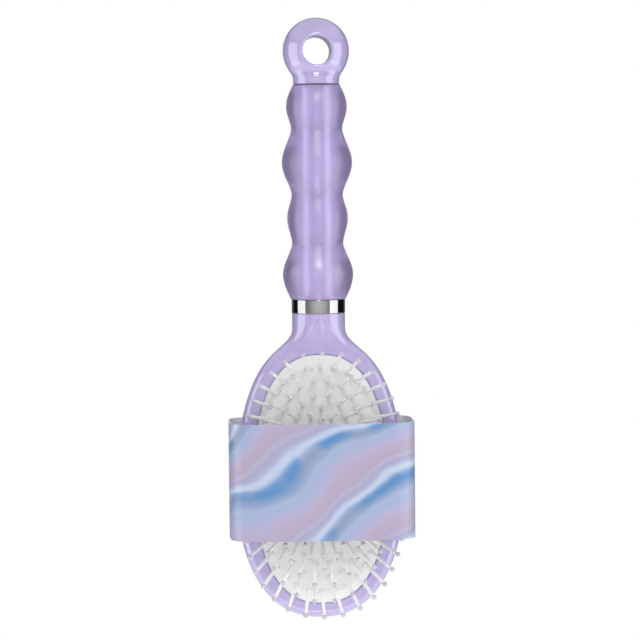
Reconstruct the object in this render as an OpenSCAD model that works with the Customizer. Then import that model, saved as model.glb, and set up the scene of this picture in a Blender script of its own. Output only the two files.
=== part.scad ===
// Oval cushion hair brush with a gel grip, a hang loop and a card sleeve round its head.
// Millimetres. +Z is up, towards the hang loop, and the pins point towards -Y.
// The origin is the centre of the hole in the hang loop.

/* [Hang loop] */
// Outer radius of the loop
loop_r = 13.2; // [12.5:0.1:14.5]
// Radius of the hole that a hook or peg goes through
hole_r = 5.7; // [4.5:0.1:6.2]
// Thickness of the loop, front to back
loop_t = 22; // [20:0.5:24]
// Radius of the rounding at the hole's two edges
hole_edge_r = 0.8; // [0.5:0.1:1]
// Radius of the loop's round foot, where the grip begins
foot_r = 9.2; // [8.9:0.1:9.8]

/* [Gel grip] */
// Length of the grip along the handle
grip_len = 85.4; // [80:0.2:95]
// Radius at the two large swells
swell_big_r = 14; // [12.5:0.1:15]
// Radius at the two small swells
swell_small_r = 12.1; // [11.2:0.1:12.4]
// Radius at the three waists
waist_r = 10.2; // [9.8:0.1:11]
// Radius of the grip where it meets the metal collar
grip_end_r = 11; // [10.8:0.1:11.6]

/* [Handle core] */
// Outer radius of the hard tube inside the grip
core_r = 6.2; // [6:0.1:6.8]
// Radius of the tube's bore
core_bore_r = 4.4; // [4:0.1:4.8]
// Radius of the flange at each end of the tube
core_flange_r = 8.6; // [8.2:0.1:8.7]
// Thickness of each flange
core_flange_t = 1.8; // [1.2:0.1:3]
// Length of the loop's spigot inside the tube
spigot_len = 24; // [16:0.5:30]
// Length of the paddle's tang inside the tube
tang_len = 40; // [30:0.5:50]

/* [Metal collar] */
// Outer radius of the bright band below the grip
ferrule_r = 10.7; // [10.4:0.1:11.2]
// Height of the band
ferrule_len = 5.8; // [4.5:0.1:7]
// Wall of the band
ferrule_wall = 0.9; // [0.6:0.1:1.2]

/* [Paddle] */
// Half of the paddle's greatest width
head_half_w = 33.6; // [32:0.1:35]
// Distance from the metal collar to the paddle's widest point
shoulder_len = 68; // [66:0.5:72]
// Distance from the widest point to the toe
toe_len = 54; // [53:0.5:58]
// Distance from the middle of the handle forwards to the paddle's face
face_depth = 6.4; // [6:0.1:7]
// Distance from the middle of the handle back to the top of the paddle's back
back_depth = 8.5; // [8:0.1:10]

/* [Cushion] */
// Half of the cushion's width
cushion_half_w = 26.5; // [25:0.1:27]
// Half of the cushion's length
cushion_half_len = 49.6; // [48:0.1:50]
// Height of the crown above the cushion's edge
crown = 5; // [4:0.1:6]
// Thickness of the rubber
rubber_t = 1.6; // [1.2:0.1:1.8]
// Height of the cushion's edge above its seat in the paddle
edge_step = 0.6; // [0.3:0.1:1]
// Radius of the breather hole in the middle of the cushion
vent_r = 0.8; // [0.5:0.1:1]

/* [Pins] */
// Length of a pin above the cushion, with its ball
pin_len = 17.5; // [15:0.1:18]
// Radius of a pin where it leaves the cushion
pin_r = 0.65; // [0.55:0.05:0.7]
// Radius of a pin where it enters its ball
pin_end_r = 0.5; // [0.4:0.05:0.5]
// Radius of a ball tip
ball_r = 1; // [0.8:0.05:1.1]
// Number of pins in the outer ring
outer_count = 42; // [38:2:44]
// Number of pins in the second ring
second_count = 34; // [30:2:36]
// Number of pins in the third ring
third_count = 28; // [24:2:30]
// Number of pins in the fourth ring
fourth_count = 22; // [18:2:22]
// Number of pins in the middle row
middle_count = 9; // [7:2:9]

/* [Card sleeve] */
// Room at each side, between the card and what it goes round
sleeve_side_gap = 2.5; // [1.5:0.1:4]
// Height of the sleeve along the brush
sleeve_h = 45.8; // [40:0.2:52]
// Thickness of the card
card_t = 0.4; // [0.3:0.05:0.5]
// Width of the glued flap at the back
flap_w = 14; // [10:1:20]

/* [Hidden] */
$fn = 72;

// Overrun of every cut past the face that it opens
cut = 0.5;
// Gap between pieces that push or slide together
fit_gap = 0.1;
// Radial gap between a pin and its hole in the rubber
pin_gap = 0.03;

// Stations along the handle, from the hole's centre downwards
foot_z = -loop_r;
grip_end_z = foot_z - grip_len;
neck_z = grip_end_z - ferrule_len;
wide_z = neck_z - shoulder_len;
toe_z = wide_z - toe_len;

// Snap joints of the handle
snap_rise = 0.4;
snap_r = core_bore_r + snap_rise;
snap_h = 1.6;
snap_inset = 5;
lead_in = 1;

// Loop shape: a ball, a little flattened, whose foot begins below the rounded edge of the hole
round_power = 2;
foot_sharpness = 12;
foot_edge = 0.4;
foot_blend_share = 0.5;
loop_sides = 48;
loop_top_steps = 9;
loop_foot_steps = 18;
hole_rim_r = hole_r + 2 * hole_edge_r;
hole_edge_lift = 0.06;

// Grip shape: each swell and waist at its share of the grip's length
swell_shares = [0.103, 0.206, 0.365, 0.515, 0.623, 0.740, 0.885];
grip_radii = [swell_small_r, waist_r, swell_big_r, waist_r, swell_small_r, waist_r, swell_big_r];
swell_fullness = 0.8;
grip_steps = 9;

// Metal collar shape
ferrule_edge = 0.3;
ferrule_seat_r = ferrule_r - ferrule_wall;

// Paddle shape: the neck is round, and the head is flat in front and arched at the back
neck_step = 0.1;
neck_r = ferrule_r - neck_step;
side_plane_share = 0.235;
side_plane = -face_depth * side_plane_share;
face_power = 6;
back_power = 2.2;
shoulder_power = 2.1;
toe_power = 2.3;
shoulder_inset_len = 3.5;
shoulder_turn_len = 12.25;
shoulder_turn_power = 4.5;
flare_inset_len = 1;
flare_len = 15;
paddle_sides = 56;
neck_steps = 14;
shoulder_steps = 14;
toe_steps = 16;

// Cushion seat in the paddle
cushion_power = 2.4;
toe_margin = 6.4;
cushion_z = toe_z + toe_margin + cushion_half_len;
oval_sides = 96;
bezel_w = 0.5;
bezel_depth = 0.5;
seat_y = bezel_depth - face_depth;
bead_w = 1.5;
bead_t = 1.4;
bead_drop = 1.9;
bead_y = seat_y + bead_drop;
bead_back_y = bead_y + bead_t;
ledge_w = 1.3;
chamber_floor_y = 1.5;

// Dome of the cushion: part of a barrel with its axis across the brush
apex_y = seat_y - edge_step - crown;
across_r = (pow(cushion_half_w, 2) + pow(crown, 2)) / (2 * crown);
along_r = (pow(cushion_half_len, 2) + pow(crown, 2)) / (2 * crown);
barrel_y = apex_y + along_r;

// Pin rings from the outside in; the last is a row along the middle
ring_pins = [outer_count, second_count, third_count, fourth_count, middle_count];
middle_ring = len(ring_pins) - 1;
ring_start_shares = [0, 0.5, 0.5, 0];
ring_w_share = 0.2417;
ring_len_share = 0.1244;
middle_row_share = 0.511;
edge_inset_w = 2.5;
edge_inset_len = 4.6;
outer_half_w = cushion_half_w - edge_inset_w;
outer_half_len = cushion_half_len - edge_inset_len;
ring_step_w = outer_half_w * ring_w_share;
ring_step_len = outer_half_len * ring_len_share;
middle_half_len = outer_half_len * middle_row_share;
arc_samples = 180;

// The pins fan out from these distances behind the cushion, from a little above its middle
fan_across_r = 38.5;
fan_along_r = 93.5;
fan_rise = 6;

// Flat head of a pin, below the rubber, and the end that sits in the ball
pin_head_r = 1.4;
pin_head_t = 0.8;
pin_head_gap = 0.65;
pin_head_drop = rubber_t + pin_head_gap;
socket_depth = 1.2;
pin_sides = 16;

// Reach of the outermost ball tips across the brush
tips_reach = outer_half_w + (pin_len - ball_r) * sin(atan2(outer_half_w, fan_across_r)) + ball_r;

// Card sleeve shape: room in front of the tips and behind the paddle
sleeve_half_w = max(head_half_w, tips_reach) + sleeve_side_gap + card_t;
sleeve_drop = 42;
sleeve_top_z = neck_z - sleeve_drop;
sleeve_mid_y = -10;
sleeve_front_gap = 0.5;
sleeve_back_gap = 0.4;
sleeve_front = sleeve_mid_y - apex_y + pin_len + sleeve_front_gap + card_t;
sleeve_back = back_depth + sleeve_back_gap + card_t - sleeve_mid_y;
sleeve_power = 5;
sleeve_sides = 120;
flap_sides = 12;

plastic_colour = [0.75, 0.70, 0.88];
gel_colour = [0.62, 0.56, 0.76];
core_colour = [0.68, 0.62, 0.82];
metal_colour = [0.80, 0.80, 0.80];
rubber_colour = [0.93, 0.93, 0.92];
pin_colour = [0.96, 0.96, 0.96];
tip_colour = [0.80, 0.78, 0.87];
card_colour = [0.76, 0.79, 0.90];

// Value at the share between a and b
function mix(a, b, share) = a + (b - a) * share;

// Share from 0 to 1 as x goes from a to b, with soft ends
function soft_step(a, b, x) = let (t = min(1, max(0, (x - a) / (b - a)))) t * t * (3 - 2 * t);

// Greater of two sizes, with a corner between them that is rounder for a smaller sharpness
function smooth_max(a, b, sharpness) = b * pow(pow(a / b, sharpness) + 1, 1 / sharpness);

// Height of a rounded outline of half height a and half length b, at the distance d from its middle
function oval_height(a, b, power, d) = abs(d) >= b ? 0 : a * pow(1 - pow(abs(d) / b, power), 1 / power);

// Side of an oval of half size a where the sine or cosine of its angle is s
function oval_side(a, power, s) = a * sign(s) * pow(abs(s), 2 / power);

// Point of an oval at the angle t, which is 0 at the end of its length
function oval_point(a, b, power, t) = [oval_side(a, power, sin(t)), oval_side(b, power, cos(t))];

// Cross-section at the height z: front and back halves have their own depth and squareness
function section(w, mid_y, front, back, front_power, back_power, z, sides) =
    [for (i = [0 : sides - 1])
        let (t = 360 * i / sides, power = sin(t) < 0 ? front_power : back_power)
        [oval_side(w, power, cos(t)), mid_y + oval_side(sin(t) < 0 ? front : back, power, sin(t)), z]];

// Closed skin through a stack of cross-sections, from the top down to an end point
module skin(sections, end_point) {
    sides = len(sections[0]);
    last = (len(sections) - 1) * sides;
    walls = [for (r = [0 : len(sections) - 2], i = [0 : sides - 1])
        let (a = r * sides + i, b = r * sides + (i + 1) % sides)
        each [[a, b, b + sides], [a, b + sides, a + sides]]];
    top = [for (i = [sides - 1 : -1 : 0]) i];
    end = [for (i = [0 : sides - 1]) [last + i, last + (i + 1) % sides, last + sides]];
    polyhedron([for (row = sections) each row, end_point], concat(walls, [top], end), convexity = 6);
}

// Loop: half width and half thickness at the height z, less the bevel at the foot's end
function loop_half_w(z) = z > 0 ? oval_height(loop_r, loop_r, round_power, z)
    : smooth_max(oval_height(loop_r, loop_r, round_power, z), foot_r, foot_sharpness);
function foot_share(z) = soft_step(-hole_rim_r, mix(-hole_rim_r, foot_z, foot_blend_share), z);
function loop_half_t(z) = mix(oval_height(loop_t / 2, loop_r, round_power, z), foot_r, foot_share(z));
function loop_section(z) = let (bevel = max(0, foot_z + foot_edge - z), t = loop_half_t(z) - bevel)
    section(loop_half_w(z) - bevel, 0, t, t, round_power, round_power, -z, loop_sides);

module loop_skin() {
    foot = [for (i = [0 : loop_foot_steps]) (foot_z + foot_edge) * (1 - i / loop_foot_steps)];
    top = [for (i = [1 : loop_top_steps]) loop_r * sin(90 * i / (loop_top_steps + 1))];
    mirror([0, 0, 1]) skin([for (z = concat([foot_z], foot, top)) loop_section(z)], [0, 0, -loop_r]);
}

// Cutter that rounds one edge of the hole: its circle rises a little out of the ball's surface
module hole_rounding() {
    inner_r = loop_r - hole_edge_r;
    inner_t = loop_t / 2 - hole_edge_r;
    middle_r = hole_r + hole_edge_r;
    middle_t = oval_height(inner_t, inner_r, round_power, middle_r) + hole_edge_lift;
    tilt = atan2(middle_r / pow(inner_r, 2), middle_t / pow(inner_t, 2));
    rotate([90, 0, 0]) rotate_extrude() difference() {
        translate([0, middle_t]) square([middle_r + hole_edge_r * sin(tilt), loop_t / 2]);
        translate([middle_r, middle_t]) circle(r = hole_edge_r);
    }
}

// Rod that points up from z = 0, with a snap ring near its free end
module snap_rod(r, length) {
    ring_z = length - snap_inset - snap_h / 2;
    rotate_extrude() polygon([
        [0, 0], [r, 0], [r, ring_z - snap_h / 2],
        [snap_r, ring_z - fit_gap], [snap_r, ring_z + fit_gap],
        [r, ring_z + snap_h / 2], [r, length - lead_in],
        [r - lead_in, length], [0, length]]);
}

module hang_loop() {
    color(plastic_colour) {
        difference() {
            loop_skin();
            rotate([90, 0, 0]) cylinder(r = hole_r, h = loop_t + 2 * cut, center = true);
            for (side = [0, 1]) mirror([0, side, 0]) hole_rounding();
        }
        translate([0, 0, foot_z]) mirror([0, 0, 1]) snap_rod(core_bore_r - fit_gap, spigot_len);
    }
}

// Grip's outline between two neighbours in the list of swells and waists, at the share t of the way
function rise(t) = pow((1 - cos(180 * t)) / 2, swell_fullness);
function grip_wave(a, b, t) = a > b ? mix(b, a, rise(1 - t)) : mix(a, b, rise(t));

module gel_grip() {
    last = len(swell_shares) - 1;
    start = [for (i = [0 : grip_steps - 1]) let (t = i / grip_steps)
        [mix(foot_r, grip_radii[0], sin(90 * t)), foot_z - grip_len * swell_shares[0] * t]];
    waves = [for (k = [0 : last - 1], i = [0 : grip_steps - 1]) let (t = i / grip_steps)
        [grip_wave(grip_radii[k], grip_radii[k + 1], t),
         foot_z - grip_len * mix(swell_shares[k], swell_shares[k + 1], t)]];
    finish = [for (i = [0 : grip_steps]) let (t = i / grip_steps)
        [mix(grip_end_r, grip_radii[last], cos(90 * t)), foot_z - grip_len * mix(swell_shares[last], 1, t)]];
    bore = core_r + fit_gap;
    recess = core_flange_r + fit_gap;
    depth = core_flange_t + fit_gap;
    color(gel_colour) rotate_extrude() polygon(concat(start, waves, finish, [
        [recess, grip_end_z], [recess, grip_end_z + depth],
        [bore, grip_end_z + depth], [bore, foot_z - depth],
        [recess, foot_z - depth], [recess, foot_z]]));
}

module handle_core() {
    top = foot_z - fit_gap;
    bottom = grip_end_z + fit_gap;
    flange = core_flange_t - fit_gap;
    color(core_colour) difference() {
        union() {
            translate([0, 0, bottom]) cylinder(r = core_r, h = top - bottom);
            translate([0, 0, bottom]) cylinder(r = core_flange_r, h = flange);
            translate([0, 0, top - flange]) cylinder(r = core_flange_r, h = flange);
        }
        translate([0, 0, bottom - cut]) cylinder(r = core_bore_r, h = top - bottom + 2 * cut);
        snap_groove(foot_z - spigot_len + snap_inset + snap_h / 2);
        snap_groove(grip_end_z + tang_len - snap_inset - snap_h / 2);
    }
}

// Groove in the core's bore for a snap ring, with its middle at the height z
module snap_groove(z) {
    translate([0, 0, z]) cylinder(r = snap_r + fit_gap, h = snap_h + 2 * fit_gap, center = true);
}

module ferrule() {
    low = neck_z + fit_gap;
    high = grip_end_z - fit_gap;
    color(metal_colour) rotate_extrude() polygon([
        [ferrule_seat_r, low], [ferrule_r - ferrule_edge, low], [ferrule_r, low + ferrule_edge],
        [ferrule_r, high - ferrule_edge], [ferrule_r - ferrule_edge, high], [ferrule_seat_r, high]]);
}

// Paddle: half width at the height z, how far the round neck has become the flat head, and its depths
function shoulder_oval(z) =
    oval_height(head_half_w, shoulder_len - shoulder_inset_len, shoulder_power, z - wide_z);
function shoulder_share(z) =
    1 - 1 / (1 + pow(max(0, neck_z - z) / shoulder_turn_len, shoulder_turn_power));
function head_outline(z) = z < wide_z ? oval_height(head_half_w, toe_len, toe_power, z - wide_z)
    : mix(neck_r, max(neck_r, shoulder_oval(z)), shoulder_share(z));
function flare_share(z) = soft_step(neck_z - flare_inset_len, neck_z - flare_inset_len - flare_len, z);
function toe_share(z, power) = z > wide_z ? 1 : oval_height(1, toe_len, power, z - wide_z);
function paddle_section(z) = let (s = flare_share(z))
    section(head_outline(z), side_plane * s,
            mix(neck_r, face_depth + side_plane, s) * toe_share(z, face_power),
            mix(neck_r, back_depth - side_plane, s) * toe_share(z, back_power),
            mix(round_power, face_power, s), mix(round_power, back_power, s), z, paddle_sides);

module paddle_skin() {
    flare_end = neck_z - flare_inset_len - flare_len;
    neck = [for (i = [0 : neck_steps - 1]) mix(neck_z, flare_end, i / neck_steps)];
    shoulder = [for (i = [0 : shoulder_steps - 1]) mix(flare_end, wide_z, i / shoulder_steps)];
    toe = [for (i = [0 : toe_steps - 1]) wide_z - toe_len * sin(90 * i / toe_steps)];
    skin([for (z = concat(neck, shoulder, toe)) paddle_section(z)], [0, side_plane, toe_z]);
}

// Oval block of the cushion's outline, grown all round, from y = front to y = back
module oval_block(grow, front, back) {
    translate([0, back, cushion_z]) rotate([90, 0, 0]) linear_extrude(back - front)
        polygon([for (i = [0 : oval_sides - 1])
            oval_point(cushion_half_w + grow, cushion_half_len + grow, cushion_power, 360 * i / oval_sides)]);
}

module paddle() {
    front = -face_depth - cut;
    color(plastic_colour) difference() {
        union() {
            paddle_skin();
            translate([0, 0, neck_z]) cylinder(r = ferrule_seat_r - fit_gap, h = ferrule_len - fit_gap);
            translate([0, 0, grip_end_z - fit_gap]) snap_rod(core_bore_r - fit_gap, tang_len + fit_gap);
        }
        oval_block(bezel_w, front, seat_y);
        oval_block(fit_gap, front, bead_back_y + fit_gap);
        oval_block(bead_w + fit_gap, bead_y - fit_gap, bead_back_y + fit_gap);
        oval_block(-ledge_w, front, chamber_floor_y);
    }
}

// Barrel that gives the cushion its crown, with its surface moved in by inset
module barrel(inset) {
    reach = cushion_half_w + rubber_t;
    depth = 2 * (bead_back_y - apex_y);
    translate([0, barrel_y, cushion_z]) rotate([0, 90, 0]) rotate_extrude($fn = 144) intersection() {
        translate([along_r - across_r, 0]) circle(r = across_r - inset);
        translate([along_r - depth, -reach]) square([depth, 2 * reach]);
    }
}

module cushion() {
    color(rubber_colour) difference() {
        union() {
            intersection() {
                oval_block(0, apex_y - cut, bead_back_y);
                barrel(0);
            }
            oval_block(bead_w, bead_y, bead_back_y);
        }
        intersection() {
            oval_block(-rubber_t, apex_y - cut, bead_back_y + cut);
            barrel(rubber_t);
        }
        for (ring = [0 : middle_ring]) pin_places(ring)
            translate([0, 0, -pin_head_drop]) cylinder(r = pin_r + pin_gap, h = pin_head_drop + cut);
        translate([0, apex_y - cut, cushion_z + middle_half_len / (middle_count - 1)]) rotate([-90, 0, 0])
            cylinder(r = vent_r, h = rubber_t + 2 * cut);
    }
}

// Table of arc length against angle round a ring, and the points that share its length equally
function ring_half_w(ring) = outer_half_w - ring_step_w * ring;
function ring_half_len(ring) = outer_half_len - ring_step_len * ring;
function ring_point(ring, t) = oval_point(ring_half_w(ring), ring_half_len(ring), cushion_power, t);
function ring_arc(ring) = let (step = 360 / arc_samples)
    [for (i = 0, length = 0; i <= arc_samples;
          length = length + norm(ring_point(ring, (i + 1) * step) - ring_point(ring, i * step)), i = i + 1)
        [length, i * step]];
function ring_points(ring) = let (table = ring_arc(ring), total = table[arc_samples][0])
    [for (i = [0 : ring_pins[ring] - 1])
        ring_point(ring, lookup(total * (i + ring_start_shares[ring]) / ring_pins[ring], table))];
function row_points() = [for (i = [0 : middle_count - 1])
    [0, middle_half_len * (2 * i / (middle_count - 1) - 1)]];
function pin_points(ring) = ring == middle_ring ? row_points() : ring_points(ring);

// Height of the crown at x across and z along from the cushion's middle
function crown_y(x, z) = barrel_y
    - sqrt(pow(along_r - across_r + sqrt(across_r * across_r - x * x), 2) - z * z);

// Puts its children at each pin of a ring: z = 0 is the rubber's surface and +z runs along the pin
module pin_places(ring) {
    for (p = pin_points(ring)) {
        lean = [p[0] / fan_across_r, -1, (p[1] - fan_rise) / fan_along_r];
        translate([p[0], crown_y(p[0], p[1]), cushion_z + p[1]])
            rotate([0, acos(lean[2] / norm(lean)), atan2(lean[1], lean[0])]) children();
    }
}

module pins(ring) {
    neck = pin_len - 2 * ball_r;
    end = neck + socket_depth;
    color(pin_colour) pin_places(ring) rotate_extrude($fn = pin_sides) polygon([
        [0, -pin_head_drop - pin_head_t], [pin_head_r, -pin_head_drop - pin_head_t],
        [pin_head_r, -pin_head_drop], [pin_r, -pin_head_drop], [pin_r, 0],
        [pin_end_r, neck], [pin_end_r, end], [0, end]]);
}

module tips(ring) {
    color(tip_colour) pin_places(ring) difference() {
        translate([0, 0, pin_len - ball_r]) sphere(r = ball_r, $fn = 2 * pin_sides);
        translate([0, 0, pin_len - 2 * ball_r - cut])
            cylinder(r = pin_end_r, h = socket_depth + cut, $fn = pin_sides);
    }
}

module outer_pins() { pins(0); }
module second_pins() { pins(1); }
module third_pins() { pins(2); }
module fourth_pins() { pins(3); }
module middle_pins() { pins(4); }
module outer_tips() { tips(0); }
module second_tips() { tips(1); }
module third_tips() { tips(2); }
module fourth_tips() { tips(3); }
module middle_tips() { tips(4); }

// Points of the sleeve's outline, grown all round, from one angle to another
function sleeve_points(grow, start, stop, steps) =
    [for (i = [0 : steps]) let (t = mix(start, stop, i / steps))
        [oval_side(sleeve_half_w + grow, sleeve_power, cos(t)),
         sleeve_mid_y + oval_side((sin(t) < 0 ? sleeve_front : sleeve_back) + grow, sleeve_power, sin(t))]];

module card_sleeve() {
    stop = 360 * (1 - 1 / sleeve_sides);
    lap = acos(pow(flap_w / 2 / sleeve_half_w, sleeve_power / 2));
    color(card_colour) translate([0, 0, sleeve_top_z - sleeve_h]) linear_extrude(sleeve_h) {
        difference() {
            polygon(sleeve_points(0, 0, stop, sleeve_sides - 1));
            polygon(sleeve_points(-card_t, 0, stop, sleeve_sides - 1));
        }
        polygon(concat(sleeve_points(card_t, lap, 180 - lap, flap_sides),
                       sleeve_points(-card_t / 2, 180 - lap, lap, flap_sides)));
    }
}

hang_loop();
gel_grip();
handle_core();
ferrule();
paddle();
cushion();
outer_pins();
second_pins();
third_pins();
fourth_pins();
middle_pins();
outer_tips();
second_tips();
third_tips();
fourth_tips();
middle_tips();
card_sleeve();
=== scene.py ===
"""Dressed model of an oval cushion hair brush: ball-tipped pins on a crowned rubber pad, a waisted
gel grip, a bright collar, a ball-shaped hang loop and a card sleeve round the head.
Metres. +Z runs up to the loop, the pins point towards -Y, and the origin is in the hang hole."""

import math
from types import SimpleNamespace

import bmesh
import bpy
import numpy as np
from mathutils import Matrix


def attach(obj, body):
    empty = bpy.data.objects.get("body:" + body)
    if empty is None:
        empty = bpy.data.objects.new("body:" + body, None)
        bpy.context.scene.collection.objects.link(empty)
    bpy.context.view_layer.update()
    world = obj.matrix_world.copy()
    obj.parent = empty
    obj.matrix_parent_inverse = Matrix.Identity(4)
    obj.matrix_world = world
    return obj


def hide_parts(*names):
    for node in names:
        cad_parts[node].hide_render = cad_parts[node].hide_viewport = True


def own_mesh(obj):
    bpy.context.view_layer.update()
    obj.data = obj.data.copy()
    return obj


bl_info = {
    "name": "Cushion hair brush",
    "version": (1, 0, 0),
    "blender": (4, 5, 0),
    "location": "3D View > Sidebar > Hair brush",
    "description": "Surfaces, finishes and studio for an oval cushion hair brush",
    "category": "Object",
}

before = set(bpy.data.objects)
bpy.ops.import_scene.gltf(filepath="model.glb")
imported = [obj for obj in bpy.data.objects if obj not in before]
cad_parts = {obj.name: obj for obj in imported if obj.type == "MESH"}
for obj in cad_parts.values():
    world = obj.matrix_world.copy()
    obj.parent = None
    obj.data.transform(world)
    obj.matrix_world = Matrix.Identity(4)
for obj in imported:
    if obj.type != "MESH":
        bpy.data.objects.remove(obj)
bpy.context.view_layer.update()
FULL_TURN = 2 * math.pi
FIT = 0.0001  # clearance between pieces that fit into each other
TOE_POWER = 2.3  # of the oval of the head's toe
SHOULDER_POWER = 2.1  # of the oval of the head's shoulders
BACK_POWER = 2.2  # of the oval of the head's back
FACE_POWER = 6  # by which the points spread over the head's face
PAD_POWER = 2.4  # of the oval of the cushion and of its rings of pins
CARD_POWER = 5  # of the oval of the sleeve
RING_STEP = 0.2417, 0.1244  # by which each ring is smaller than the outer one, across and along
ROW_SHARE = 0.511  # reach of the middle row as a share of the outer ring's
LEAN = 0.0385, 0.0935  # from the cushion back to the lines that the pins lean away from
LEAN_HEIGHT = 0.006  # of the point above the cushion's middle where the pins don't lean along
LOWEST_SWELL = -0.0862  # height of the lowest swell's middle, where the thumb rests and where the core has a painted highlight


# ---- sizes and colours

def property_kind(make, **fixed):
    """Maker of one kind of property from its name, default and description."""
    return lambda name, value, description: make(
        name=name, default=value, description=description, **fixed)


size = property_kind(bpy.props.FloatProperty, min=0, unit="LENGTH", precision=5)
place = property_kind(bpy.props.FloatProperty, unit="LENGTH", precision=5)
angle = property_kind(bpy.props.FloatProperty, subtype="ANGLE")
number = property_kind(bpy.props.FloatProperty, min=0)
count = property_kind(bpy.props.IntProperty, min=1)
colour = property_kind(bpy.props.FloatVectorProperty, min=0, max=1, size=3, subtype="COLOR")


class HandleSizes(bpy.types.PropertyGroup):
    """Loop, grip, core and collar."""

    loop_radius: size("Loop radius", 0.0132, "Outer radius of the hang loop")
    loop_thickness: size("Loop thickness", 0.022, "Thickness of the loop from front to back")
    hole_radius: size("Hole radius", 0.0057, "Radius of the hang hole")
    hole_edge: size("Hole edge", 0.0008, "Rounding at the hole's edges")
    foot_radius: size("Foot radius", 0.0092, "Radius of the loop's round foot")
    foot_edge: size("Foot edge", 0.0004, "Rounding at the end of the foot")
    grip_length: size("Grip length", 0.0854, "Length of the gel grip")
    big_swell: size("Big swell", 0.014, "Radius at the two large swells")
    small_swell: size("Small swell", 0.0121, "Radius at the two small swells")
    waist: size("Waist", 0.0102, "Radius at the three waists")
    grip_end: size("Grip end", 0.011, "Radius where the grip meets the collar")
    core_radius: size("Core radius", 0.0062, "Radius of the hard tube inside the gel")
    collar_radius: size("Collar radius", 0.0107, "Outer radius of the bright collar")
    collar_height: size("Collar height", 0.0058, "Height of the bright collar")
    collar_wall: size("Collar wall", 0.0009, "Wall of the bright collar")
    collar_edge: size("Collar edge", 0.00035, "Rounding at the collar's edges")


class HeadSizes(bpy.types.PropertyGroup):
    """Paddle and the seat for the cushion."""

    half_width: size("Half width", 0.0336, "Half of the paddle's greatest width")
    shoulder_length: size("Shoulder length", 0.068, "From the collar to the widest point")
    toe_length: size("Toe length", 0.054, "From the widest point to the toe")
    face_depth: size("Face depth", 0.0064, "From the handle's middle to the paddle's face")
    back_depth: size("Back depth", 0.0085, "From the handle's middle to the paddle's back")
    bezel_width: size("Bezel width", 0.0005, "Width of the shallow step round the cushion")
    bezel_depth: size("Bezel depth", 0.0005, "Depth of the shallow step round the cushion")
    lip_edge: size("Lip edge", 0.0002, "Rounding at the edge of the step")
    edge_width: size("Edge width", 0.0038, "Width of the rounding between the face and the sides")
    flare: size("Flare", 0.016, "Length over which the round neck turns into the head's form")
    opening: size("Opening", 0.01225, "From the neck down to where the head has half opened")
    straight: size("Straight", 0.001, "Length of the round neck below the collar")
    shoulder_gap: size("Shoulder gap", 0.0035, "From the collar to the end of the head's oval")
    side_share: number("Side share", 0.235, "Depth of the widest level as a share of the face's")


class PadSizes(bpy.types.PropertyGroup):
    """Rubber cushion and its pins."""

    half_width: size("Half width", 0.0265, "Half of the cushion's width")
    half_length: size("Half length", 0.0496, "Half of the cushion's length")
    crown: size("Crown", 0.005, "Rise of the cushion above its edge")
    edge_step: size("Edge step", 0.0006, "Height of the cushion's edge above its seat")
    edge: size("Edge", 0.0005, "Rounding at the cushion's edge")
    wall: size("Wall", 0.0019, "Depth of the cushion's wall below its seat")
    rubber: size("Rubber", 0.0016, "Thickness of the rubber")
    dimple: size("Dimple", 0.0004, "Depth of the dimple where a pin goes through")
    dimple_radius: size("Dimple radius", 0.0013, "Radius of that dimple")
    vent: size("Breather hole", 0.0008, "Radius of the breather hole")
    side_margin: size("Side margin", 0.0025, "From the outer ring to the cushion's side")
    end_margin: size("End margin", 0.0046, "From the outer ring to the cushion's end")
    toe_margin: size("Toe margin", 0.0064, "From the cushion's end to the paddle's toe")
    pin_length: size("Pin length", 0.0175, "Length of a pin above the rubber, with its ball")
    pin_radius: size("Pin radius", 0.00076, "Radius of a pin at the rubber")
    pin_end: size("Pin end", 0.0006, "Radius of a pin at its ball")
    ball_radius: size("Ball radius", 0.001, "Radius of a ball tip")
    head_radius: size("Head radius", 0.0014, "Radius of a pin's flat head under the rubber")
    head_height: size("Head height", 0.0008, "Thickness of a pin's flat head")
    head_gap: size("Head gap", 0.00065, "Room between the rubber and a pin's head")
    outer_count: count("Outer ring", 42, "Pins in the outer ring")
    second_count: count("Second ring", 34, "Pins in the second ring")
    third_count: count("Third ring", 28, "Pins in the third ring")
    fourth_count: count("Fourth ring", 22, "Pins in the fourth ring")
    middle_count: count("Middle row", 9, "Pins in the middle row")


class SleeveSizes(bpy.types.PropertyGroup):
    """Printed card sleeve."""

    height: size("Height", 0.0458, "Height of the sleeve along the brush")
    card: size("Card", 0.0004, "Thickness of the card")
    side_gap: size("Side gap", 0.0025, "Room between the card and the ball tips at each side")
    front_gap: size("Front gap", 0.0005, "Room between the card and the ball tips in front")
    back_gap: size("Back gap", 0.0004, "Room between the card and the paddle's back")
    middle: place("Middle", -0.010, "Where the sleeve is widest, from front to back")
    drop: size("Drop", 0.042, "From the collar down to the sleeve's upper edge")
    flap: size("Flap", 0.014, "Width of the glued flap at the back")


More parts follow.
